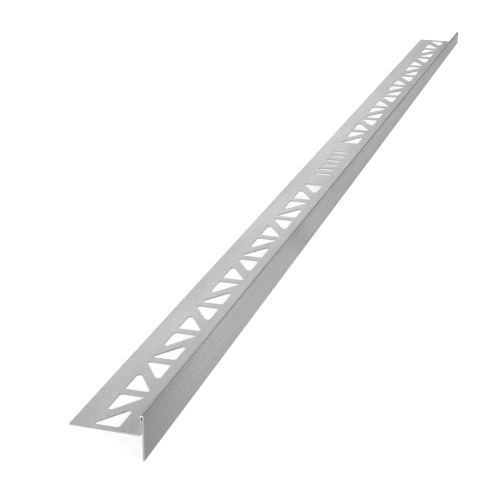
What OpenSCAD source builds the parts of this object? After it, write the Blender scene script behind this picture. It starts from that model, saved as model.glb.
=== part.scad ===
// Slope wedge profile for a shower floor, folded from one strip of stainless steel sheet.
// The flange is bedded under the tiles. The visible face hides the wedge of floor beside them.
// X runs along the profile from its deep end to its shallow end, Y from the visible face to the
// free edge of the flange, and Z up. The profile stands on the lower edge of its visible face.

/* [Profile] */
// Length of the profile, as it is sold
profile_length = 1000; // [700:10:2500]
// Thickness of the sheet
sheet_t = 1; // [0.6:0.1:1.2]
// Width over the flange, from the visible face to the free edge
flange_width = 44; // [38:0.5:80]
// Height from the underside of the flange to the top of the fold
rim_height = 12.7; // [10:0.1:25]
// Fall of the floor that the visible face follows, in percent
fall_percent = 1.5; // [1:0.1:2.5]

/* [Folds] */
// Inside radius of the bend between the flange and the inner leg
heel_r = 1.1; // [0.6:0.1:2.5]
// Inside radius of the fold along the top
fold_r = 0.2; // [0.2:0.05:0.8]
// Inside radius of the kick that opens the fold into a teardrop
kick_r = 1; // [0.6:0.1:2]
// Angle of the kick
kick_angle = 20; // [15:1:30]
// Space left between the two pressed legs
leg_gap = 0.1; // [0.05:0.05:0.3]

/* [Anchoring holes] */
// Distance from the free edge of the flange to the row of holes
hole_row_inset = 13; // [8:0.5:16]
// Side of a hole that lies along the profile, measured to its sharp corners
hole_side_along = 24.2; // [18:0.1:30]
// Side of a hole that lies across the flange, measured to its sharp corners
hole_side_across = 16.3; // [12:0.1:17]
// Radius in the corners of a hole
hole_corner_r = 1.8; // [0.8:0.1:2.2]
// Width of the slanting strut inside a pair of holes
slanting_strut = 6.5; // [3:0.1:10]
// Width of the straight strut between two pairs of holes
straight_strut = 5.8; // [3:0.1:10]
// Distance from either end of the profile to its first hole
end_margin = 4.2; // [2:0.1:20]
// Least length left free of anchoring holes at the middle
middle_free = 110; // [90:1:200]

/* [Middle slots] */
// Number of plain slots at the middle of the profile
slot_count = 6; // [1:1:6]
// Width of a slot
slot_width = 5; // [2:0.1:6]
// Distance between the centres of neighbouring slots
slot_pitch = 13; // [10:0.5:15]

/* [Hidden] */
steel_colour = "silver";
// Fragments of the small rounds, and how far a cutter runs past what it cuts
$fn = 48;
cut_over = 5;

// Depth of the visible face below the flange at the deep end, and the angle of its lower edge
wedge_rise = profile_length * fall_percent / 100;
fall_angle = atan(wedge_rise / profile_length);

// The bends follow the middle of the sheet
mid_t = sheet_t / 2;
heel_mid_r = heel_r + mid_t;
fold_mid_r = fold_r + mid_t;
kick_mid_r = kick_r + mid_t;
inner_leg_y = sheet_t + leg_gap + mid_t;

// Straight runs that join the bends: flange, inner leg, leaning run and visible leg
flange_run = flange_width - inner_leg_y - heel_mid_r;
lean_run = (fold_mid_r * (1 + cos(kick_angle)) - kick_mid_r * (1 - cos(kick_angle))
    - sheet_t - leg_gap) / sin(kick_angle);
fold_rise = lean_run * cos(kick_angle) + fold_mid_r * sin(kick_angle);
kick_rise = kick_mid_r * sin(kick_angle);
fold_centre_z = rim_height - fold_mid_r - mid_t;
inner_leg_run = fold_centre_z - fold_rise - kick_rise - mid_t - heel_mid_r;
visible_leg_run = fold_centre_z + wedge_rise;

// The sharpest two corners of a hole, and the depth of the row that the rounded holes fill
across_tip = atan(hole_side_along / hole_side_across);
row_depth = hole_side_across - hole_corner_r / tan(across_tip / 2) + hole_corner_r;
row_y = flange_width - hole_row_inset - row_depth;

// Two holes share a slanting strut, and two pairs make one period of the lattice
pair_length = hole_side_along * (2 - row_depth / hole_side_across
    + slanting_strut * norm([1 / hole_side_along, 1 / hole_side_across]));
period = 2 * (pair_length + straight_strut);
periods_each_side = floor(((profile_length - middle_free) / 2 - end_margin + straight_strut)
    / period);
group_length = periods_each_side * period - straight_strut;
second_group_x = profile_length - end_margin - group_length;

// Standing place: the slanting lower edge is turned level, and the box is centred on the origin
stand_x = (profile_length * cos(fall_angle) + (rim_height - wedge_rise) * sin(fall_angle)) / 2;
stand_y = flange_width / 2;
stand_z = wedge_rise * cos(fall_angle);

// A straight run of the sheet along +X, with the rest of the strip as children at its end
module run(length) {
    translate([0, -mid_t])
        square([length, sheet_t]);
    translate([length, 0])
        children();
}

// What lies before the start of a bend, or past its end, seen from the bend's centre
module beyond(side, reach) {
    translate([side * reach / 2, 0])
        square([reach, 2 * reach], center = true);
}

// The steel of a bend: a ring less what the bend doesn't sweep. A bend past a half turn sweeps
// all but what lies both before its start and past its end
module bend_sector(inner_r, angle) {
    reach = 2 * (inner_r + sheet_t);
    difference() {
        circle(r = inner_r + sheet_t);
        circle(r = inner_r);
        if (angle < 180) {
            beyond(-1, reach);
            rotate(angle)
                beyond(1, reach);
        }
        if (angle >= 180)
            intersection() {
                beyond(-1, reach);
                rotate(angle)
                    beyond(1, reach);
            }
    }
}

// A bend to the left by an angle, with the rest of the strip as children at its end
module bend_left(inner_r, angle) {
    mid_r = inner_r + mid_t;
    translate([0, mid_r]) {
        bend_sector(inner_r, angle);
        rotate(angle)
            translate([0, -mid_r])
                children();
    }
}

// The same bend to the right
module bend_right(inner_r, angle) {
    mirror([0, 1])
        bend_left(inner_r, angle)
            mirror([0, 1])
                children();
}

// The strip seen from its deep end, followed from the free edge over the fold to the lower edge
module strip_section() {
    translate([flange_width, mid_t])
        rotate(180)
            run(flange_run)
                bend_right(heel_r, 90)
                    run(inner_leg_run)
                        bend_right(kick_r, kick_angle)
                            run(lean_run)
                                bend_left(fold_r, 180 + kick_angle)
                                    run(visible_leg_run);
}

// The wedge cut from below the slanting lower edge of the visible face
module below_fall() {
    translate([0, sheet_t + leg_gap / 2, 0])
        rotate([90, 0, 0])
            linear_extrude(sheet_t + leg_gap / 2 + cut_over)
                polygon([
                    [0, -wedge_rise],
                    [profile_length + cut_over, cut_over * fall_percent / 100],
                    [profile_length + cut_over, -wedge_rise - cut_over],
                    [0, -wedge_rise - cut_over]]);
}

// A triangle's corner: where the round that fills it touches its two sides
function touch(corner, towards, reach) =
    corner + reach * (towards - corner) / norm(towards - corner);

// One hole: a right-angled triangle with rounded corners, its right angle at the origin
module hole_outline() {
    along_tip = 90 - across_tip;
    right = [0, 0];
    along = [hole_side_along, 0];
    across = [0, hole_side_across];
    r = hole_corner_r;
    along_reach = r / tan(along_tip / 2);
    across_reach = r / tan(across_tip / 2);
    polygon([
        touch(right, along, r), touch(along, right, along_reach),
        touch(along, across, along_reach), touch(across, along, across_reach),
        touch(across, right, across_reach), touch(right, across, r)]);
    translate([r, r])
        circle(r = r);
    translate([hole_side_along - along_reach, r])
        circle(r = r);
    translate([r, hole_side_across - across_reach])
        circle(r = r);
}

// Two holes that face each other across a slanting strut
module hole_pair() {
    hole_outline();
    translate([pair_length, row_depth])
        rotate(180)
            hole_outline();
}

// One period of the lattice: a pair, and the same pair upside down
module hole_period() {
    hole_pair();
    translate([pair_length + straight_strut, row_depth])
        mirror([0, 1])
            hole_pair();
}

// One group of periods, from its first hole
module hole_group() {
    for (i = [0:periods_each_side - 1])
        translate([i * period, 0])
            hole_period();
}

// Plain slots with round ends across the flange, centred on the middle of the profile
module middle_slots() {
    for (i = [0:slot_count - 1])
        translate([profile_length / 2 + (i - (slot_count - 1) / 2) * slot_pitch, 0]) {
            translate([-slot_width / 2, slot_width / 2])
                square([slot_width, row_depth - slot_width]);
            for (y = [slot_width / 2, row_depth - slot_width / 2])
                translate([0, y])
                    circle(d = slot_width);
        }
}

// Everything that is punched through the flange
module punching() {
    translate([0, row_y, -cut_over])
        linear_extrude(sheet_t + 2 * cut_over) {
            translate([end_margin, 0])
                hole_group();
            translate([second_group_x, 0])
                hole_group();
            middle_slots();
        }
}

// The folded, tapered and punched strip
module profile() {
    color(steel_colour)
        translate([-stand_x, -stand_y, stand_z])
            rotate([0, fall_angle, 0])
                difference() {
                    rotate([90, 0, 90])
                        linear_extrude(profile_length)
                            strip_section();
                    below_fall();
                    punching();
                }
}

profile();
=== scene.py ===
"""Studio view of a shower slope wedge profile.

The profile is one strip of stainless steel sheet. It is punched while it is flat, then folded into
a flange, a rim with a teardrop fold and a tapering visible face. This script works the same way:
it lays out the punched blank on a plane, folds that plane over the section's middle line, gives it
the sheet's thickness with broken edges, and dresses it in brushed steel.
"""

import functools
import itertools
import logging
import math
from dataclasses import dataclass
from enum import Enum

import bpy
import numpy as np
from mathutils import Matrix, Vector


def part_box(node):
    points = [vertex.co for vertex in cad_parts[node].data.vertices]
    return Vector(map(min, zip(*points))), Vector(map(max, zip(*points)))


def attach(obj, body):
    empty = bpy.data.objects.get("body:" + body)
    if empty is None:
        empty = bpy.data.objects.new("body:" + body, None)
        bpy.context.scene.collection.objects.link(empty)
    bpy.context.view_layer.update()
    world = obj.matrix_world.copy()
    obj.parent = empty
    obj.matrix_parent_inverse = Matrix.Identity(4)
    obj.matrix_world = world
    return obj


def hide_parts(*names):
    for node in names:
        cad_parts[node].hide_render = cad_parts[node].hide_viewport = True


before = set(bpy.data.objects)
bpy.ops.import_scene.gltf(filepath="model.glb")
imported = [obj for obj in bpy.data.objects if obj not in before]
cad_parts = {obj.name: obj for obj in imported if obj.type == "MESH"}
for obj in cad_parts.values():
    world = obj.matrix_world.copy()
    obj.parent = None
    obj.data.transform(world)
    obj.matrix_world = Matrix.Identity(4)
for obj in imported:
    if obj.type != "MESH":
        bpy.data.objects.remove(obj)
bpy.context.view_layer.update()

Array = np.ndarray
Socket = bpy.types.NodeSocket
Feed = Socket | float | tuple
Range = tuple[float, float]
Triple = tuple[float, float, float]
Ramp = tuple[float, float, float, float]

MM = 0.001
TINY = 1e-12
LOG = logging.getLogger("profile")


class Turn(Enum):
    """Which way a stretch of the strip bends, seen from the deep end and walked from the free edge."""

    STRAIGHT = 0
    LEFT = 1
    RIGHT = -1


class Finish(Enum):
    """The surfaces that a punched and folded strip has."""

    BRUSHED_FACE = 0
    PUNCHED_WALL = 1
    CUT_END = 2
    BACK_FACE = 3
    # Faces inside the fold, nearly black: painted shade.
    FOLD_INSIDE = 4


def mm(*lengths: float) -> tuple[float, ...]:
    """Lengths given in millimetres, in metres."""
    return tuple(length * MM for length in lengths)


def unit(vectors: Array) -> Array:
    """The same vectors with a length of 1, and nought where they had none."""
    return vectors / np.maximum(np.linalg.norm(vectors, axis=-1, keepdims=True), TINY)


def pairs(first: Array | float, second: Array | float) -> Array:
    """The values of two arrays that numpy can match, as pairs on a last axis."""
    return np.stack(np.broadcast_arrays(first, second), -1)


def heading(angle: Array) -> Array:
    """Unit directions at angles."""
    return pairs(np.cos(angle), np.sin(angle))


def put(name: str, data: bpy.types.ID) -> bpy.types.Object:
    """Makes an object and links it to the scene.

    Args:
        name: name of the object.
        data: its mesh, lamp or camera.

    Returns:
        The object, at the origin.
    """
    thing = bpy.data.objects.new(name, data)
    bpy.context.scene.collection.objects.link(thing)
    return thing


def aim(thing: bpy.types.Object, place: Triple, target: Triple) -> None:
    """Puts a lamp or a camera at a place and points it at a target."""
    thing.location = place
    thing.rotation_euler = (Vector(target) - Vector(place)).to_track_quat("-Z", "Y").to_euler()


@dataclass(frozen=True)
class StripSizes:
    """Sizes of the folded strip, in metres and radians."""

    length: float
    flange_width: float
    thickness: float = 1.0 * MM
    rim_height: float = 12.7 * MM
    fall: float = 0.015
    heel_r: float = 1.1 * MM
    fold_r: float = 0.2 * MM
    kick_r: float = 1.0 * MM
    kick_angle: float = math.radians(20)
    leg_gap: float = 0.1 * MM
    edge_break: float = 0.1 * MM

    @classmethod
    def from_frame(cls, node: str) -> "StripSizes":
        """Reads the length and the flange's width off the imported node.

        The standing profile is turned by its fall, so its box is as long as the turned strip and
        the share of the rim and of the visible face that the turn adds at the two ends.

        Args:
            node: name of the CAD node.

        Returns:
            The sizes, with every other value at its default.
        """
        low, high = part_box(node)
        extent = np.subtract(high, low)
        turn = math.atan(cls.fall)
        reach = math.cos(turn) + cls.fall * math.sin(turn)
        length = (extent[0] - cls.rim_height * math.sin(turn)) / reach
        return cls(length=length, flange_width=extent[1])

    @property
    def wedge_rise(self) -> float:
        """Depth of the visible face below the flange at the deep end."""
        return self.length * self.fall


@dataclass(frozen=True)
class LatticeSizes:
    """Sizes of the anchoring holes and of the slots between them, in metres."""

    row_inset: float = 13.0 * MM
    side_along: float = 24.2 * MM
    side_across: float = 16.3 * MM
    corner_r: float = 1.8 * MM
    slanting_strut: float = 6.5 * MM
    straight_strut: float = 5.8 * MM
    end_margin: float = 4.2 * MM
    middle_free: float = 110 * MM
    slot_count: int = 6
    slot_width: float = 5.0 * MM
    slot_pitch: float = 13.0 * MM
    cell_margin: float = 2.0 * MM

    @property
    def across_tip(self) -> float:
        """Angle of a hole's corner that points across the flange."""
        return math.atan(self.side_along / self.side_across)

    @property
    def row_depth(self) -> float:
        """Depth of the row, across the flange, that the rounded holes fill."""
        reach = self.corner_r / math.tan(self.across_tip / 2)
        return self.side_across - reach + self.corner_r

    @property
    def pair_length(self) -> float:
        """Length of two holes that share a slanting strut."""
        slant = math.hypot(1 / self.side_along, 1 / self.side_across)
        return self.side_along * (2 - self.row_depth / self.side_across + self.slanting_strut * slant)

    @property
    def pair_pitch(self) -> float:
        """Distance from one pair of holes to the next."""
        return self.pair_length + self.straight_strut

    def pairs_each_side(self, length: float) -> int:
        """How many pairs of holes fit on either side of the middle, always an even number."""
        room = (length - self.middle_free) / 2 - self.end_margin + self.straight_strut
        return 2 * math.floor(room / (2 * self.pair_pitch))


class FoldPath:
    """The middle line of the strip across its width, as stretches that follow each other.

    On a stretch of signed curvature k the angle grows by k times the distance d. The point moves
    along the chord, whose angle has grown by half as much, and whose length is d times
    sin(kd/2) / (kd/2). A straight stretch has a curvature of nought.
    """

    STATION_DEGREES = 9

    def __init__(self, sizes: StripSizes) -> None:
        """Chains the stretches from the free edge to the lower edge at the deep end.

        Args:
            sizes: sizes of the strip.
        """
        self.sizes = sizes
        half = sizes.thickness / 2
        heel, fold, kick = (r + half for r in (sizes.heel_r, sizes.fold_r, sizes.kick_r))
        lean = sizes.kick_angle
        pressed = sizes.thickness + sizes.leg_gap
        lean_run = (fold * (1 + math.cos(lean)) - kick * (1 - math.cos(lean)) - pressed) / math.sin(lean)
        self.fold_centre = sizes.rim_height - fold - half
        fold_rise = lean_run * math.cos(lean) + fold * math.sin(lean)
        leg_run = self.fold_centre - fold_rise - kick * math.sin(lean) - half - heel
        stretches = [
            (Turn.STRAIGHT, sizes.flange_width - pressed - half - heel, 0.0),
            (Turn.RIGHT, heel * math.pi / 2, heel),
            (Turn.STRAIGHT, leg_run, 0.0),
            (Turn.RIGHT, kick * lean, kick),
            (Turn.STRAIGHT, lean_run, 0.0),
            (Turn.LEFT, fold * (math.pi + lean), fold),
            (Turn.STRAIGHT, self.fold_centre + sizes.wedge_rise, 0.0),
        ]
        self.lengths = np.array([run for _, run, _ in stretches])
        self.starts = np.concatenate([[0.0], np.cumsum(self.lengths)])
        _, self.heel_start, _, self.kick_start, _, self.fold_start, self.leg_start, _ = self.starts
        self.bends = np.array([turn.value / r if r else 0.0 for turn, _, r in stretches])
        self.angles = math.pi + np.concatenate([[0.0], np.cumsum(self.bends * self.lengths)])
        self.points = np.zeros((len(stretches) + 1, 2))
        self.points[0] = (sizes.flange_width, half)
        for i in range(len(stretches)):
            self.points[i + 1] = self._walk(i, self.lengths[i])

    def _walk(self, i: Array | int, run: Array) -> Array:
        """The point a distance along a stretch.

        Args:
            i: number of the stretch.
            run: distance from its start.

        Returns:
            The point, as (y, z).
        """
        half = self.bends[i] * run / 2
        chord = run * np.sinc(half / math.pi)
        return self.points[i] + chord[..., None] * heading(self.angles[i] + half)

    def at(self, s: Array) -> tuple[Array, Array, Array]:
        """Where the middle line is at distances across the blank.

        Args:
            s: distances from the free edge.

        Returns:
            The points, the headings and the upper side's normals there, each as (y, z) pairs.
        """
        i = np.clip(np.searchsorted(self.starts, s, "right") - 1, 0, len(self.lengths) - 1)
        run = s - self.starts[i]
        along = heading(self.angles[i] + self.bends[i] * run)
        return self._walk(i, run), along, pairs(along[..., 1], -along[..., 0])

    def stations(self) -> Array:
        """Distances across the blank at which the folds are sampled.

        A bend gets a station about every STATION_DEGREES, and a straight run gets two.

        Returns:
            The stations, from the start of the heel to the start of the visible leg.
        """
        parts = []
        for i in range(1, len(self.lengths) - 1):
            turned = math.degrees(abs(self.bends[i]) * self.lengths[i])
            count = max(2, math.ceil(turned / self.STATION_DEGREES))
            parts.append(self.starts[i] + self.lengths[i] * np.arange(count) / count)
        return np.concatenate(parts + [[self.leg_start]])

    def lower_edge(self, x: Array) -> Array:
        """Distance across the blank to the lower edge: the leg's start, and its height above the edge."""
        return self.leg_start + self.fold_centre + self.sizes.wedge_rise - self.sizes.fall * x


@dataclass(frozen=True)
class Cell:
    """One hole of the row and the steel around it.

    The steel is a grid of (along, across) points, from the hole's broken edge outwards and once
    around it. Outward holds the directions out of the hole, one for each point of its edge.
    """

    steel: Array
    outward: Array


class CellKit:
    """The cells that the flange's row is made of.

    Each of a cell's four sides faces a bend, a straight run and a bend of its hole, or one bend
    alone. The splits are the angles at which the hole's edge passes from side to side, in degrees.
    """

    BEND_STEPS = 5
    RUN_STEPS = 2
    CORNER_SHARE = 0.22
    RING_SHARES = (0.0, 0.3, 1.0)
    TRIANGLE_SPLITS = (225, 343, 425, 500)
    SLOT_SPLITS = (225, 315, 405, 495)

    def __init__(self, lattice: LatticeSizes, edge_break: float) -> None:
        """Keeps the sizes of the row and the width of the broken edge around a hole."""
        self.lattice = lattice
        self.edge_break = edge_break

    def side_shares(self) -> Array:
        """Where the points of one cell side lie, closer together at both corners.

        Returns:
            Their shares of the side's length, from 0 to 1.
        """
        share, bend, run = self.CORNER_SHARE, self.BEND_STEPS, self.RUN_STEPS
        middle = share + (1 - 2 * share) * np.arange(1, run) / run
        first = np.linspace(0, share, bend + 1)
        return np.concatenate([first, middle, 1 - first[::-1]])

    def _cell(self, centres: list, splits: tuple, levels: tuple, radius: float, corners: list) -> Cell:
        """Rolls a round past the four sides of a cell, and fills the steel outside it.

        A point of the hole's edge is the round's centre plus its radius in the direction outwards: a
        bend is one centre with many directions, and a straight run is one direction from many
        centres. Straight lines lead on to the cell's border.

        Args:
            centres: centre of the bend at each corner of the cell, anticlockwise from the lower left.
            splits: angle at which the edge passes each corner.
            levels: angle of the straight run that each side faces.
            radius: radius of the bends.
            corners: the cell's corners.

        Returns:
            The cell.
        """
        bend, run = self.BEND_STEPS, self.RUN_STEPS
        roll = np.concatenate([np.zeros(bend + 1), np.arange(1, run) / run, np.ones(bend)])
        shares = self.side_shares()[:-1]
        ends = (*splits[1:], splits[0] + 360)
        rolled, angles, border = [], [], []
        for i in range(len(corners)):
            following = (i + 1) % len(corners)
            move = np.subtract(centres[following], centres[i])
            turned = np.linspace(splits[i], ends[i], 2 * bend + run + 1)
            if move.any():
                turned[:bend] = np.linspace(splits[i], levels[i], bend, endpoint=False)
                turned[bend:-bend] = levels[i]
                turned[-bend - 1:] = np.linspace(levels[i], ends[i], bend + 1)
            angles.append(np.radians(turned[:-1]))
            rolled.append(centres[i] + np.outer(roll, move))
            border.append(corners[i] + np.outer(shares, np.subtract(corners[following], corners[i])))
        outward = heading(np.concatenate(angles))
        inner = np.concatenate(rolled) + (radius + self.edge_break) * outward
        reach = np.concatenate(border) - inner
        return Cell(np.stack([inner + share * reach for share in self.RING_SHARES]), outward)

    def triangle(self) -> Cell:
        """A right-angled triangle with rounded corners, its right angle at the origin.

        Returns:
            The cell, which ends at the middle of the struts on both sides.
        """
        size = self.lattice
        r, slope = size.corner_r, size.side_along / size.side_across
        along = (size.side_along - r / math.tan((math.pi / 2 - size.across_tip) / 2), r)
        across = (r, size.side_across - r / math.tan(size.across_tip / 2))
        low, high = -size.cell_margin, size.row_depth + size.cell_margin
        left = -size.straight_strut / 2
        middle, reach = size.pair_length / 2, (size.row_depth / 2 + size.cell_margin) * slope
        levels = (270, 360 + math.degrees(size.across_tip), 450, 540)
        corners = [(left, low), (middle + reach, low), (middle - reach, high), (left, high)]
        return self._cell([(r, r), along, across, across], self.TRIANGLE_SPLITS, levels, r, corners)

    def slot(self) -> Cell:
        """A slot with round ends across the row, centred on the origin along the profile.

        Returns:
            The cell, one slot pitch long.
        """
        size = self.lattice
        r, half = size.slot_width / 2, size.slot_pitch / 2
        lower, upper = (0.0, r), (0.0, size.row_depth - r)
        low, high = -size.cell_margin, size.row_depth + size.cell_margin
        levels = (270, 360, 450, 540)
        corners = [(-half, low), (half, low), (half, high), (-half, high)]
        return self._cell([lower, lower, upper, upper], self.SLOT_SPLITS, levels, r, corners)


@dataclass(frozen=True)
class Placing:
    """How a cell lies in the blank: mirrored along or across the row, and moved."""

    x: float
    s: float
    along: float
    across: float

    def put(self, points: Array) -> Array:
        """Moves (along, across) points to (x, s) places in the blank."""
        return self.turn(points) + (self.x, self.s)

    def turn(self, directions: Array) -> Array:
        """Turns (along, across) directions as the cell is turned."""
        return directions * (self.along, self.across)


class SheetMesh:
    """Grids of points that are welded into one closed mesh."""

    WELD = 1e-6

    def __init__(self) -> None:
        """Starts with no grid and no point."""
        self.grids: list[tuple[Array, ...]] = []
        self.count = 0

    def add(self, points: Array, normals: Array, flat: Array, depth: Array | float, finish: Finish,
            closed: bool = False) -> None:
        """Adds one grid, with its faces turned to the side that its normals show.

        Args:
            points: places, as rows by columns by 3.
            normals: unit normals there.
            flat: places in the blank.
            depth: distance off the middle of the sheet, for the grid or for each row.
            finish: the finish of its faces.
            closed: whether the last column joins the first.
        """
        shape = points.shape[:2]
        index = np.arange(math.prod(shape)).reshape(shape)
        if closed:
            index = np.concatenate([index, index[:, :1]], 1)
        quads = np.stack([index[:-1, :-1], index[1:, :-1], index[1:, 1:], index[:-1, 1:]], -1).reshape(-1, 4)
        places, normals = points.reshape(-1, 3), normals.reshape(-1, 3)
        corners = places[quads]
        facing = np.cross(corners[:, 2] - corners[:, 0], corners[:, 3] - corners[:, 1])
        if (facing * normals[quads].sum(1)).sum() < 0:
            quads = quads[:, ::-1]
        depths = np.broadcast_to(depth, shape).reshape(-1)
        finishes = np.full(len(quads), finish.value, np.int32)
        self.grids.append((places, normals, flat.reshape(-1, 2), depths, self.count + quads, finishes))
        self.count += len(places)

    def met(self, points: Array) -> Array:
        """Finds the points that fall together, whichever way their last digits are rounded.

        Space is cut into cubes eight times, each time moved by half a cube along other axes, so that
        two points nearer than half a cube share one at least once, and take the lower number.

        Args:
            points: places, as rows by 3.

        Returns:
            For each point, the number of the first one that it falls together with.
        """
        number = np.arange(len(points))
        for moved in itertools.product((0.0, 0.5), repeat=3):
            cubes = np.floor(points / self.WELD + moved).astype(np.int64)
            member = np.unique(cubes, axis=0, return_inverse=True)[1].reshape(-1)
            lowest = np.full(member.max() + 1, len(points))
            np.minimum.at(lowest, member, number)
            number = lowest[member]
        return number

    def build(self, name: str) -> bpy.types.Object:
        """Welds the grids and makes the object, with its normals and its map of the blank.

        Args:
            name: name of the object.

        Returns:
            The object, at the origin.
        """
        points, normals, flat, depths, faces, finishes = (np.concatenate(a) for a in zip(*self.grids))
        first, inverse = np.unique(self.met(points), return_inverse=True)
        summed = np.zeros((len(first), 3))
        np.add.at(summed, inverse, normals)
        corners = inverse[faces]
        mesh = bpy.data.meshes.new(name)
        mesh.from_pydata(points[first], [], corners.tolist())
        mesh.polygons.foreach_set("use_smooth", np.ones(len(faces), bool))
        mesh.polygons.foreach_set("material_index", finishes)
        layer = mesh.uv_layers.new(name="Blank")
        layer.uv.foreach_set("vector", flat[first][corners].astype(np.float32).ravel())
        depth = mesh.attributes.new("Depth", "FLOAT", "POINT")
        depth.data.foreach_set("value", depths[first].astype(np.float32))
        mesh.update()
        mesh.normals_split_custom_set_from_vertices(unit(summed).tolist())
        return put(name, mesh)


class FoldedStrip:
    """The profile: the punched blank, folded and given its thickness.

    The second line of points lies EDGE_LINE broken edges in, the visible leg is sampled at
    LEG_SHARES, and stations along the profile are told apart by their first DECIMALS.
    """

    EDGE_STEPS = 3
    EDGE_LINE = 4
    FLANGE_STEPS = 3
    GAP_STEPS = 3
    END_STEPS = 2
    LEG_SHARES = (0.0, 0.2, 0.4, 0.6, 0.8, 0.98, 1.0)
    DECIMALS = 9

    def __init__(self, sizes: StripSizes, lattice: LatticeSizes) -> None:
        """Works out the fold, the turn by the fall that makes it stand, and the stations across it.

        Args:
            sizes: sizes of the strip.
            lattice: sizes of its holes.
        """
        self.sizes = sizes
        self.lattice = lattice
        self.path = FoldPath(sizes)
        self.cells = CellKit(lattice, sizes.edge_break)
        self.mesh = SheetMesh()
        self.lines: tuple[list[Array], list[Array]] = ([], [])
        self.row_top = lattice.row_inset
        self.row_low = lattice.row_inset + lattice.row_depth
        angle = math.atan(sizes.fall)
        c, s = math.cos(angle), math.sin(angle)
        self.turn = np.array([[c, 0.0, -s], [0.0, 1.0, 0.0], [s, 0.0, c]])
        centre = (sizes.length * c + (sizes.rim_height - sizes.wedge_rise) * s) / 2
        self.shift = np.array([-centre, -sizes.flange_width / 2, sizes.wedge_rise * c])
        start, end = self.row_top - lattice.cell_margin, self.row_low + lattice.cell_margin
        edge = [sizes.edge_break, self.EDGE_LINE * sizes.edge_break]
        self.edge_stations = np.concatenate([edge, np.linspace(0, start, self.FLANGE_STEPS + 1)[1:]])
        self.row_stations = start + self.cells.side_shares() * (end - start)
        bed = np.linspace(end, self.path.heel_start, self.FLANGE_STEPS + 1)[:-1]
        self.fold_stations = np.concatenate([bed, self.path.stations()])

    def leg_stations(self, x: Array) -> Array:
        """Distances across the blank at which the visible leg is sampled, for each station along it."""
        run = self.path.lower_edge(x) - self.sizes.edge_break - self.path.leg_start
        return self.path.leg_start + np.multiply.outer(run, self.LEG_SHARES)

    def place(self, flat: Array, off: Array, edge: Array | None = None,
              lean: Array | float = 0.0) -> tuple[Array, Array]:
        """Folds points of the blank into the standing profile.

        A point is moved off the middle line along the sheet's normal, and the section is then
        turned by the fall, so that the lower edge is level.

        Args:
            flat: places in the blank, with (x, s) on the last axis.
            off: signed distance off the middle of the sheet.
            edge: unit directions in the blank out of the edge, for points on an edge.
            lean: how far the normal leans towards them, in radians.

        Returns:
            The places and the unit normals.
        """
        middle, along, normal = self.path.at(flat[..., 1])
        off = np.broadcast_to(off, flat.shape[:-1])[..., None]
        places = np.concatenate([flat[..., :1], middle + off * normal], -1)
        side = np.sign(off) * np.concatenate([np.zeros_like(off), normal], -1)
        if edge is not None:
            out = np.concatenate([edge[..., :1], edge[..., 1:] * along], -1)
            lean = np.broadcast_to(lean, flat.shape[:-1])[..., None]
            side = side * np.cos(lean) + out * np.sin(lean)
        return places @ self.turn + self.shift, side @ self.turn

    def skin(self, flat: Array, closed: bool = False, under: Finish = Finish.BACK_FACE) -> None:
        """Adds one grid of the blank to both faces of the sheet.

        Args:
            flat: a grid of places in the blank.
            closed: whether the last column joins the first.
            under: finish of the lower face.
        """
        half = self.sizes.thickness / 2
        for off, finish in ((half, Finish.BRUSHED_FACE), (-half, under)):
            places, normals = self.place(flat, off)
            self.mesh.add(places, normals, flat, off, finish, closed)

    def wall(self, loop: Array, out: Array, finish: Finish, closed: bool = True) -> None:
        """Adds the sheet's edge along a line, with both of its corners broken.

        A corner is a quarter round: at angle a it has moved out by the break times the sine of a,
        and down from the face by the break times one less the cosine.

        Args:
            loop: places in the blank where the flat faces end.
            out: directions out of the steel, whose length makes the edge move one break.
            finish: finish of the edge.
            closed: whether the line is a loop.
        """
        half, width = self.sizes.thickness / 2, self.sizes.edge_break
        angles = np.radians(np.linspace(0, 90, self.EDGE_STEPS + 1))
        moves = np.concatenate([angles, angles[::-1]])
        sides = np.repeat([1.0, -1.0], len(angles))
        off = (sides * (half - width * (1 - np.cos(moves))))[:, None]
        flat = loop + width * np.sin(moves)[:, None, None] * out
        edge = np.broadcast_to(unit(out), flat.shape)
        places, normals = self.place(flat, off, edge, moves[:, None])
        self.mesh.add(places, normals, flat, off, finish, closed)

    def cell(self, cell: Cell, placing: Placing) -> None:
        """Adds one cell: its steel, the walls of its hole, and its stations on the row's two lines.

        Args:
            cell: the cell.
            placing: how it lies.
        """
        steel = placing.put(cell.steel)
        self.skin(steel, closed=True)
        self.wall(steel[0], -placing.turn(cell.outward), Finish.PUNCHED_WALL)
        steps = len(cell.outward) // 4
        border = steel[-1, :, 0]
        first, second = self.lines if placing.across > 0 else self.lines[::-1]
        first.append(border[:steps + 1])
        second.append(border[2 * steps:3 * steps + 1])

    def pair(self, x: float, across: int) -> None:
        """Adds two holes that face each other across a slanting strut.

        Args:
            x: where the first hole's right angle lies.
            across: 1 or -1, as every second pair is turned over.
        """
        hole = self.cells.triangle()
        near, far = (self.row_top, self.row_low)[::across]
        self.cell(hole, Placing(x, near, 1.0, across))
        self.cell(hole, Placing(x + self.lattice.pair_length, far, -1.0, -across))

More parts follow.
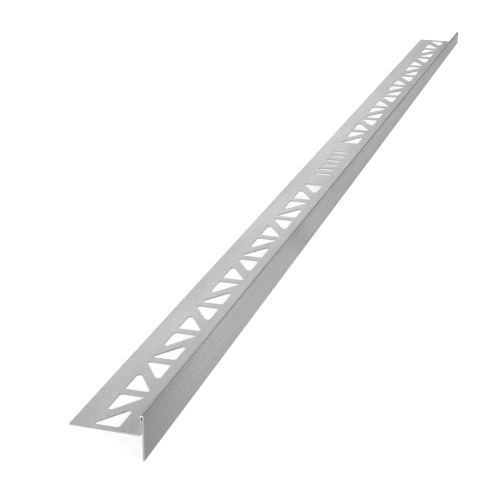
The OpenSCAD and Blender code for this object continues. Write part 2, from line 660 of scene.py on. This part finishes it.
    def row(self) -> None:
        """Adds the whole row: two groups of holes, the stretches without any, and the slots."""
        size, lattice = self.sizes, self.lattice
        count = lattice.pairs_each_side(size.length)
        group = count * lattice.pair_pitch
        second = size.length - lattice.end_margin + lattice.straight_strut - group
        for start in (lattice.end_margin, second):
            for i in range(count):
                self.pair(start + i * lattice.pair_pitch, (-1, 1)[i % 2])
        first_start, second_start = (x - lattice.straight_strut / 2 for x in (lattice.end_margin, second))
        reach = lattice.slot_count * lattice.slot_pitch / 2
        middle = size.length / 2
        plain = [(size.edge_break, first_start, self.END_STEPS),
                 (first_start + group, middle - reach, self.GAP_STEPS),
                 (middle + reach, second_start, self.GAP_STEPS),
                 (second_start + group, size.length - size.edge_break, self.END_STEPS)]
        for start, end, steps in plain:
            x = np.linspace(start, end, steps + 1)
            self.skin(pairs(x[:, None], self.row_stations))
            for line in self.lines:
                line.append(x)
        for i in range(lattice.slot_count):
            x = middle - reach + (i + 0.5) * lattice.slot_pitch
            self.cell(self.cells.slot(), Placing(x, self.row_low, 1.0, -1.0))

    def margins(self) -> tuple[Array, Array]:
        """Adds the steel on both sides of the row, the folds and the tapering visible leg.

        Returns:
            The stations along the free edge and along the lower edge.
        """
        top, low = (np.unique(np.round(np.concatenate(line), self.DECIMALS)) for line in self.lines)
        self.skin(pairs(top[:, None], self.edge_stations))
        kick = int(np.searchsorted(self.fold_stations, self.path.kick_start))
        self.skin(pairs(low[:, None], self.fold_stations[:kick + 1]))
        self.skin(pairs(low[:, None], self.fold_stations[kick:]), under=Finish.FOLD_INSIDE)
        leg = pairs(low[:, None], self.leg_stations(low))
        self.skin(leg[:, :2], under=Finish.FOLD_INSIDE)
        self.skin(leg[:, 1:])
        return top, low

    def outer_edges(self, top: Array, low: Array) -> None:
        """Adds the free edge, the lower edge and the two ends, mitred where they meet.

        Each side has its direction out of the steel, and the moves of its first and last point.

        Args:
            top: stations along the free edge.
            low: stations along the lower edge.
        """
        width, fall = self.sizes.edge_break, self.sizes.fall
        free, lower = pairs(top, width), pairs(low, self.path.lower_edge(low) - width)
        deep, shallow = (-1.0, 1 + fall), (1.0, 1 - fall)
        sides = [(free, (0.0, -1.0), (-1.0, -1.0), (1.0, -1.0), Finish.PUNCHED_WALL),
                 (lower, (0.0, 1.0), deep, shallow, Finish.PUNCHED_WALL)]
        across = [self.edge_stations, self.row_stations[1:], self.fold_stations[1:]]
        for x, corner in ((low[0], deep), (low[-1], shallow)):
            s = np.concatenate([*across, self.leg_stations(x)[1:]])
            sides.append((pairs(x, s), (corner[0], 0.0), (corner[0], -1.0), corner, Finish.CUT_END))
        for line, out, first, last, finish in sides:
            moves = np.tile(out, (len(line), 1))
            moves[0], moves[-1] = first, last
            self.wall(line, moves, finish, closed=False)

    def build(self, name: str) -> bpy.types.Object:
        """Makes the folded strip as one closed mesh.

        Args:
            name: name of the object.

        Returns:
            The object.
        """
        self.row()
        self.outer_edges(*self.margins())
        return self.mesh.build(name)


@dataclass(frozen=True)
class Pattern:
    """A noise pattern: repeats for each metre along each axis, octaves, weight, and where it starts."""

    stretch: Triple
    octaves: float
    share: float = 1.0
    start: Triple = (0.0, 0.0, 0.0)


@dataclass(frozen=True)
class Patch:
    """A stretch of a coordinate, in metres, over which something has a share.

    The share rises from the first place to the second, and falls from the third to the fourth.
    """

    places: Ramp
    share: float = 1.0


class Shader:
    """A material's node tree, with the few steps that the finishes and the floor share."""

    NOISE_ROUGHNESS = 0.6
    NOISE_SWING = 0.2
    BUMP_DEPTH = 0.00002

    def __init__(self, name: str) -> None:
        """Makes a material without nodes.

        Args:
            name: name of the material.
        """
        self.material = bpy.data.materials.new(name)
        self.material.use_nodes = True
        self.tree = self.material.node_tree
        self.tree.nodes.clear()

    def node(self, kind: str, *values: Feed, settings: dict[str, str] | None = None,
             **inputs: Feed) -> bpy.types.Node:
        """Adds a node and feeds its inputs: a socket is linked, and anything else is a constant.

        Args:
            kind: type of the node, without its first word.
            values: what feeds its first inputs, in their order.
            settings: the node's own settings.
            inputs: what feeds its other inputs, with spaces in their names as underscores.

        Returns:
            The node.
        """
        made = self.tree.nodes.new("ShaderNode" + kind)
        for name, value in (settings or {}).items():
            setattr(made, name, value)
        named = [(made.inputs[name.replace("_", " ")], value) for name, value in inputs.items()]
        for socket, value in [*zip(made.inputs, values), *named]:
            if isinstance(value, Socket):
                self.tree.links.new(value, socket)
            else:
                socket.default_value = value
        return made

    def blank(self) -> Socket:
        """Places in the blank: along the profile, and across from the free edge."""
        return self.node("UVMap", settings={"uv_map": "Blank"}).outputs["UV"]

    def place(self) -> Socket:
        """Places on the standing profile."""
        return self.node("TexCoord").outputs["Object"]

    def axes(self, vector: Socket) -> tuple[Socket, ...]:
        """The three parts of a vector."""
        return tuple(self.node("SeparateXYZ", vector).outputs)

    def math(self, kind: str, first: Feed, second: Feed) -> Socket:
        """One sum of two values, each a socket or a number."""
        return self.node("Math", first, second, settings={"operation": kind}).outputs[0]

    def total(self, *terms: Feed) -> Socket:
        """The sum of several values."""
        return functools.reduce(functools.partial(self.math, "ADD"), terms)

    def product(self, *terms: Feed) -> Socket:
        """The product of several values."""
        return functools.reduce(functools.partial(self.math, "MULTIPLY"), terms)

    def noise(self, vector: Socket, pattern: Pattern) -> Socket:
        """A pattern that swings about nought, times its share.

        Args:
            vector: coordinates to read.
            pattern: the noise.

        Returns:
            The socket with the pattern's value.
        """
        mapped = self.node("Mapping", Vector=vector, Scale=pattern.stretch, Location=pattern.start)
        noise = self.node("TexNoise", Vector=mapped.outputs[0], Scale=1.0, Detail=pattern.octaves,
                          Roughness=self.NOISE_ROUGHNESS)
        return self.product(self.math("SUBTRACT", noise.outputs["Fac"], 0.5), pattern.share)

    def ramp(self, value: Socket, start: float, end: float, low: float = 0.0, high: float = 1.0) -> Socket:
        """A straight ramp from low, where the value is at start, to high at end, and level outside."""
        node = self.node("MapRange", value, From_Min=start, From_Max=end, To_Min=low, To_Max=high)
        return node.outputs["Result"]

    def band(self, value: Socket, low: float, high: float) -> Socket:
        """Spreads the middle of a noise's swing over a range."""
        return self.ramp(value, -self.NOISE_SWING, self.NOISE_SWING, low, high)

    def patch(self, value: Socket, patch: Patch, *more: Feed) -> Socket:
        """The share of a patch where its coordinate has a value, times whatever else is given."""
        rise, full, fade, end = patch.places
        return self.product(self.ramp(value, rise, full), self.ramp(value, end, fade), patch.share, *more)

    def mix(self, share: Socket, under: Socket | Triple, over: Triple) -> Socket:
        """Lays one colour over another.

        Args:
            share: socket with the upper colour's share.
            under: the lower colour.
            over: the upper colour.

        Returns:
            The socket with the colour.
        """
        below = under if isinstance(under, Socket) else (*under, 1.0)
        mixed = self.node("Mix", settings={"data_type": "RGBA"}, Factor=share, A=below, B=(*over, 1.0))
        return mixed.outputs["Result"]

    def metal(self, colour: Socket, roughness: Socket, rim: Triple, height: Socket, bump: float,
              **more: Feed) -> bpy.types.Material:
        """Finishes the material as bare metal.

        Args:
            colour: socket with the colour.
            roughness: socket with the roughness.
            rim: colour of the reflections at a low angle.
            height: socket with the height of the grain.
            bump: strength of the bumps that the height makes.
            more: further inputs of the surface.

        Returns:
            The material.
        """
        bumps = self.node("Bump", Height=height, Strength=bump, Distance=self.BUMP_DEPTH)
        surface = self.node("BsdfPrincipled", Base_Color=colour, Roughness=roughness, Metallic=1.0,
                            Specular_Tint=(*rim, 1.0), Normal=bumps.outputs["Normal"], **more)
        self.node("OutputMaterial", Surface=surface.outputs[0])
        return self.material


@dataclass(frozen=True)
class BrushedSteel:
    """Stainless sheet brushed along its length, with its clouds and streaks, and with painted shade and
    painted light.

    Places are distances in the blank, in metres. A ramp is written as the places where it starts and
    ends, and the results there. The roughness is that of the dark and of the light grain.
    """

    heel_start: float
    leg_start: float
    dark: Triple = (0.302, 0.30, 0.298)
    light: Triple = (0.603, 0.60, 0.595)
    rim: Triple = (0.72, 0.72, 0.74)
    roughness: Range = (0.42, 0.30)
    anisotropy: float = 0.45
    bump: float = 0.25
    brushing: Pattern = Pattern((9.0, 700.0, 1.0), 3.0, 0.2)
    hairlines: Pattern = Pattern((300.0, 3200.0, 1.0), 2.0, 0.3)
    flecks: Pattern = Pattern((360.0, 1000.0, 1.0), 1.0, 0.5)
    clouds: Pattern = Pattern((6.0, 30.0, 1.0), 3.0, 0.24, (-46.41, -3.24, -6.3))
    streaks: Pattern = Pattern((3.0, 330.0, 1.0), 1.0, 0.16, (29.6, 42.4, 15.2))
    streak_fade: Ramp = (500 * MM, 280 * MM, 0.4, 1.0)
    contrast: Ramp = (250 * MM, 600 * MM, 0.62, 1.2)
    leg_contrast: float = 0.38
    near_end: Ramp = (90 * MM, -8 * MM, 0.0, 1.0)
    # Painted light: lighter near the lower edge of the leg at the deep end.
    low_painted_light: Ramp = (7 * MM, 0.0, 0.0, 0.12)
    # Painted sheen: a lighter stretch of the leg.
    painted_sheen: Patch = Patch(mm(95, 130, 180, 260), 0.045)
    cool: Patch = Patch(mm(40, 110, 290, 330), 0.05)
    cool_tint: Triple = (0.44, 0.43, 0.70)
    # Colour of the painted shade that the shares below mix in.
    shade_colour: Triple = (0.272, 0.27, 0.268)
    # Painted shade at the deep end, more on the fold's crown and on the leg there, and over the whole leg.
    near_painted_shade: float = 0.15
    near_crown_painted_shade: float = 0.45
    near_leg_painted_shade: float = 0.25
    leg_painted_shade: float = 0.1
    crown_reach: Range = (1.6 * MM, 0.4 * MM)
    # Painted shade towards the far end.
    far_painted_shade: Ramp = (700 * MM, 1000 * MM, 0.0, 0.2)
    # Painted shade on the flange's strip beside the rim.
    strip_rise: Range = (15 * MM, 30 * MM)
    strip_fade: float = 5 * MM
    strip_painted_shade: float = 0.37
    # Painted shade on a slanted band across the leg.
    slanted_painted_shade: Patch = Patch(mm(266, 291, 301, 326), 0.34)
    slanted_shade_lean: float = 1.75
    # Painted shade just below the fold, with a gap where it stops.
    shade_reach: float = 4 * MM
    fold_shade_share: float = 0.17
    shade_gap: Patch = Patch(mm(95, 130, 270, 290))

    def make(self) -> bpy.types.Material:
        """Builds the material on the map of the blank, so that its grain follows the fold.

        The tone swings about nought with the grain, by its contrast, with the clouds, and with the
        streaks on the leg; painted light raises it near the leg's lower edge at the deep end and over
        one stretch of the leg. The colour runs from dark to light with it, has a cool tint on one
        stretch, and turns towards the shade colour by the share of painted shade.

        Returns:
            The material.
        """
        shader = Shader("brushed_stainless")
        blank = shader.blank()
        x, s = shader.axes(blank)[:2]
        leg = shader.ramp(s, self.leg_start - MM, self.leg_start + MM)
        near = shader.ramp(x, *self.near_end)
        grains = (self.brushing, self.hairlines, self.flecks)
        grain = shader.total(*(shader.noise(blank, pattern) for pattern in grains))
        contrast = shader.total(shader.ramp(x, *self.contrast), shader.product(leg, self.leg_contrast))
        streaks = shader.product(shader.noise(blank, self.streaks), leg, shader.ramp(x, *self.streak_fade))
        tone = shader.total(shader.product(grain, contrast, 1 - self.clouds.share),
                            shader.noise(blank, self.clouds), streaks)
        # Painted light: lighter near the lower edge of the leg at the deep end, by height on the standing
        # profile.
        low = shader.ramp(shader.axes(shader.place())[2], *self.low_painted_light)
        # Painted sheen over one stretch of the leg, added to the tone.
        tone_with_painted_light = shader.total(tone, shader.product(low, leg, near), shader.patch(x, self.painted_sheen, leg))
        steel = shader.mix(shader.band(tone_with_painted_light, 0.0, 1.0), self.dark, self.light)
        steel = shader.mix(shader.patch(x, self.cool, leg), steel, self.cool_tint)
        # Painted shade: the steel turns towards the shade colour by the painted shade share.
        steel = shader.mix(self.painted_shade_share(shader, x, s, leg, near), steel, self.shade_colour)
        tangent = shader.node("Tangent", settings={"direction_type": "UV_MAP", "uv_map": "Blank"})
        return shader.metal(steel, shader.band(tone, *self.roughness), self.rim, grain, self.bump,
                            Anisotropic=self.anisotropy, Tangent=tangent.outputs[0])

    def painted_shade_share(self, shader: Shader, x: Socket, s: Socket, leg: Socket, near: Socket) -> Socket:
        """The share of painted shade: at the deep end, more on the fold's crown and the leg there, over the
        whole leg, on the flange's strip beside the rim, towards the far end, on a slanted band across the
        leg, and just below the fold.

        The slanted band's coordinate is x less a multiple of the distance down the leg. The shade below the
        fold stops over its gap.

        Args:
            shader: the material's nodes.
            x: socket with the distance along the profile.
            s: socket with the distance across the blank.
            leg: socket that is 1 on the visible leg.
            near: socket that is 1 at the deep end.

        Returns:
            The socket with the share.
        """
        # Painted shade at the deep end, more on the fold's crown and on the leg.
        start, end = (self.leg_start - reach for reach in self.crown_reach)
        near_shade = shader.total(shader.product(shader.ramp(s, start, end), self.near_crown_painted_shade),
                            shader.product(leg, self.near_leg_painted_shade), self.near_painted_shade)
        heel = self.heel_start
        # Painted shade on the flange's strip beside the rim.
        strip = Patch((*self.strip_rise, heel - self.strip_fade, heel), self.strip_painted_shade)
        # Painted shade on a slanted band across the leg.
        down = shader.product(shader.math("SUBTRACT", s, self.leg_start), self.slanted_shade_lean)
        # Painted shade just below the fold, except over its gap.
        below = shader.ramp(s, self.leg_start + self.shade_reach, self.leg_start + MM)
        unlit = shader.math("SUBTRACT", 1.0, shader.patch(x, self.shade_gap))
        return shader.total(shader.product(near_shade, near), shader.product(leg, self.leg_painted_shade),
                            shader.patch(s, strip), shader.ramp(x, *self.far_painted_shade),
                            shader.patch(shader.math("SUBTRACT", x, down), self.slanted_painted_shade, leg),
                            shader.product(below, leg, unlit, self.fold_shade_share))


@dataclass(frozen=True)
class PlainSteel:
    """Steel that isn't brushed: a sheared edge, the mill finish of the back, or the dark inside of the fold,
    which is painted shade.

    The roughness is that of the dark and of the light grain.
    """

    name: str
    dark: Triple
    light: Triple
    roughness: Range
    rim: Triple = (0.8, 0.8, 0.8)
    grain: Pattern = Pattern((2600.0, 2600.0, 520.0), 2.0)
    bump: float = 0.2

    def colour(self, shader: Shader, grain: Socket) -> Socket:
        """The socket with the colour, from dark to light by the grain."""
        return shader.mix(shader.band(grain, 0.0, 1.0), self.dark, self.light)

    def make(self) -> bpy.types.Material:
        """Builds the material on object coordinates.

        Returns:
            The material.
        """
        shader = Shader(self.name)
        grain = shader.noise(shader.place(), self.grain)
        return shader.metal(self.colour(shader, grain), shader.band(grain, *self.roughness), self.rim, grain,
                            self.bump)


@dataclass(frozen=True)
class CutEndSteel(PlainSteel):
    """The end of the strip, cut across the fold: burnished over the top, and crushed round the eyelet.

    Where the crown begins, and where the crown and the painted sheen are full, are shares of the fold's
    length from both of its ends. The painted eyelet shade is full, and then gone, at distances outside the
    fold. Inner and outer are depths off the middle of the sheet.
    """

    # Painted highlight over the top of the cut end.
    painted_highlight: Triple = (0.95, 0.95, 0.95)
    # Painted shade round the eyelet.
    painted_eyelet_shade: Triple = (0.03, 0.03, 0.032)
    fold: Range = (0.0, 1.0)
    crown: Range = (0.2, 0.3)
    sheen: float = 0.4
    eyelet: Range = (1.2 * MM, 1.6 * MM)
    inner: Range = (-0.08 * MM, -0.2 * MM)
    outer: Range = (0.45 * MM, 0.25 * MM)

    def colour(self, shader: Shader, grain: Socket) -> Socket:
        """The plain colour, with the painted highlight and the painted eyelet shade laid over it.

        Args:
            shader: the material's nodes.
            grain: socket with the grain.

        Returns:
            The socket with the colour.
        """
        across = shader.axes(shader.blank())[1]
        depth = shader.node("Attribute", settings={"attribute_name": "Depth"}).outputs["Fac"]
        first, last = self.fold
        full, gone = self.eyelet
        begin, crown, sheen = (share * (last - first) for share in (*self.crown, self.sheen))
        top = shader.patch(across, Patch((first + begin, first + crown, last - crown, last - begin)))
        over = shader.patch(across, Patch((first - gone, first + sheen, last - sheen, last + gone)))
        around = shader.patch(across, Patch((first - gone, first - full, last + full, last + gone)))
        # Painted highlight over the outer depth of the cut end's top.
        highlight_mask = shader.product(shader.ramp(depth, *self.outer), over)
        # Painted shade in the inner depth round the eyelet, outside the crown.
        inside = shader.product(shader.ramp(depth, *self.inner), shader.math("SUBTRACT", around, top))
        painted_sheen = shader.mix(highlight_mask, super().colour(shader, grain), self.painted_highlight)
        return shader.mix(inside, painted_sheen, self.painted_eyelet_shade)


@dataclass(frozen=True)
class Softbox:
    """A soft rectangular lamp, in metres and watts."""

    name: str
    place: Triple
    size: Range
    power: float
    target: Triple = (0.0, 0.0, 0.3)

    def build(self) -> None:
        """Hangs the lamp."""
        light = bpy.data.lights.new(self.name, "AREA")
        light.shape = "RECTANGLE"
        light.size, light.size_y = self.size
        light.energy = self.power
        aim(put(self.name, light), self.place, self.target)


@dataclass(frozen=True)
class Studio:
    """A pale floor, soft lamps and an even world around the profile, in metres."""

    floor_size: float = 400.0
    floor_colour: Triple = (0.36, 0.36, 0.36)
    floor_lift: float = 0.765
    world_level: float = 0.38
    drop: float = 0.0001
    lamps: tuple[Softbox, ...] = (
        Softbox("far_softbox", (2.4, 0.8, 1.18), (1.4, 1.1), 9.3, (0.2, 0.0, 0.0)),
        Softbox("top_softbox", (-0.2, 1.1, 2.5), (2.4, 2.0), 18.0, (0.0, 0.0, 0.0)),
        Softbox("right_softbox", (-0.2, -1.6, 2.0), (2.4, 2.0), 21.0, (0.0, 0.0, 0.0)),
        Softbox("front_softbox", (0.0, -3.4, 1.5), (8.0, 2.6), 60.0),
        Softbox("back_softbox", (0.0, 3.4, 1.5), (8.0, 2.6), 60.0),
        Softbox("near_softbox", (-3.6, 0.0, 1.5), (4.0, 2.6), 30.0),
    )

    def floor(self) -> bpy.types.Object:
        """Makes the floor, just below the profile, with a lift for the camera and for reflections.

        Returns:
            The floor.
        """
        half, z = self.floor_size / 2, -self.drop
        corners = [(-half, -half, z), (half, -half, z), (half, half, z), (-half, half, z)]
        mesh = bpy.data.meshes.new("floor")
        mesh.from_pydata(corners, [], [(0, 1, 2, 3)])
        shader = Shader("floor")
        ray = shader.node("LightPath").outputs
        mirrored = shader.math("MAXIMUM", ray["Is Glossy Ray"], ray["Is Transmission Ray"])
        seen = shader.math("MAXIMUM", ray["Is Camera Ray"], mirrored)
        glow = shader.node("Emission", Strength=shader.product(seen, self.floor_lift))
        matt = shader.node("BsdfDiffuse", Color=(*self.floor_colour, 1.0))
        both = shader.node("AddShader", matt.outputs[0], glow.outputs[0])
        shader.node("OutputMaterial", Surface=both.outputs[0])
        mesh.materials.append(shader.material)
        return put("floor", mesh)

    def world(self) -> None:
        """Sets an even, neutral world."""
        world = bpy.data.worlds.new("studio")
        world.use_nodes = True
        background = world.node_tree.nodes["Background"]
        background.inputs["Color"].default_value = (1.0, 1.0, 1.0, 1.0)
        background.inputs["Strength"].default_value = self.world_level
        bpy.context.scene.world = world

    def build(self) -> bpy.types.Object:
        """Makes the world, the lamps and the floor.

        Returns:
            The floor.
        """
        self.world()
        for lamp in self.lamps:
            lamp.build()
        return self.floor()


@dataclass(frozen=True)
class PhotoCamera:
    """The photograph's view, level with the standing profile, in metres and millimetres."""

    place: Triple = (-1.10679, -0.27391, 0.38945)
    target: Triple = (-0.19296, 0.01532, 0.0002)
    lens: float = 100.0
    reach: Range = (0.05, 60.0)

    def build(self) -> None:
        """Makes the camera and gives it to the scene."""
        data = bpy.data.cameras.new("camera")
        data.lens = self.lens
        data.clip_start, data.clip_end = self.reach
        camera = put("camera", data)
        aim(camera, self.place, self.target)
        bpy.context.scene.camera = camera


def dress(piece: bpy.types.Object, path: FoldPath) -> None:
    """Gives the strip its finishes, in the order of Finish.

    Args:
        piece: the folded strip.
        path: the strip's middle line, which places the marks, the painted shade and the painted light on its
            faces and ends.
    """
    finishes = {
        Finish.BRUSHED_FACE: BrushedSteel(heel_start=path.heel_start, leg_start=path.leg_start),
        Finish.PUNCHED_WALL: PlainSteel("punched_wall", (0.44, 0.43, 0.415), (0.62, 0.61, 0.595),
                                        (0.6, 0.45)),
        Finish.CUT_END: CutEndSteel("cut_end", (0.40, 0.405, 0.42), (0.50, 0.505, 0.52), (0.45, 0.3),
                                    fold=(path.fold_start, path.leg_start)),
        Finish.BACK_FACE: PlainSteel("mill_finish", (0.50, 0.50, 0.50), (0.60, 0.60, 0.595), (0.46, 0.36),
                                     grain=Pattern((900.0, 900.0, 900.0), 2.0), bump=0.1),
        # Painted shade: the inside of the fold is nearly black.
        Finish.FOLD_INSIDE: PlainSteel("fold_inside_painted_shade", (0.05, 0.05, 0.05), (0.12, 0.12, 0.12), (0.6, 0.5),
                                       rim=(0.3, 0.3, 0.3)),
    }
    for finish in Finish:
        piece.data.materials.append(finishes[finish].make())


def main() -> None:
    """Builds the studio, the camera and the profile, and reports each piece."""
    logging.basicConfig(level=logging.INFO, format="%(name)s: %(message)s")
    bpy.context.scene.view_settings.view_transform = "Standard"
    Studio().build()
    PhotoCamera().build()
    sizes = StripSizes.from_frame("profile")
    strip = FoldedStrip(sizes, LatticeSizes())
    piece = strip.build("folded_strip")
    dress(piece, strip.path)
    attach(piece, "root")
    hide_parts("profile")
    LOG.info("%s: %d vertices, %d faces, length %.4f m", piece.name, len(piece.data.vertices),
             len(piece.data.polygons), sizes.length)


if __name__ == "__main__":
    main()
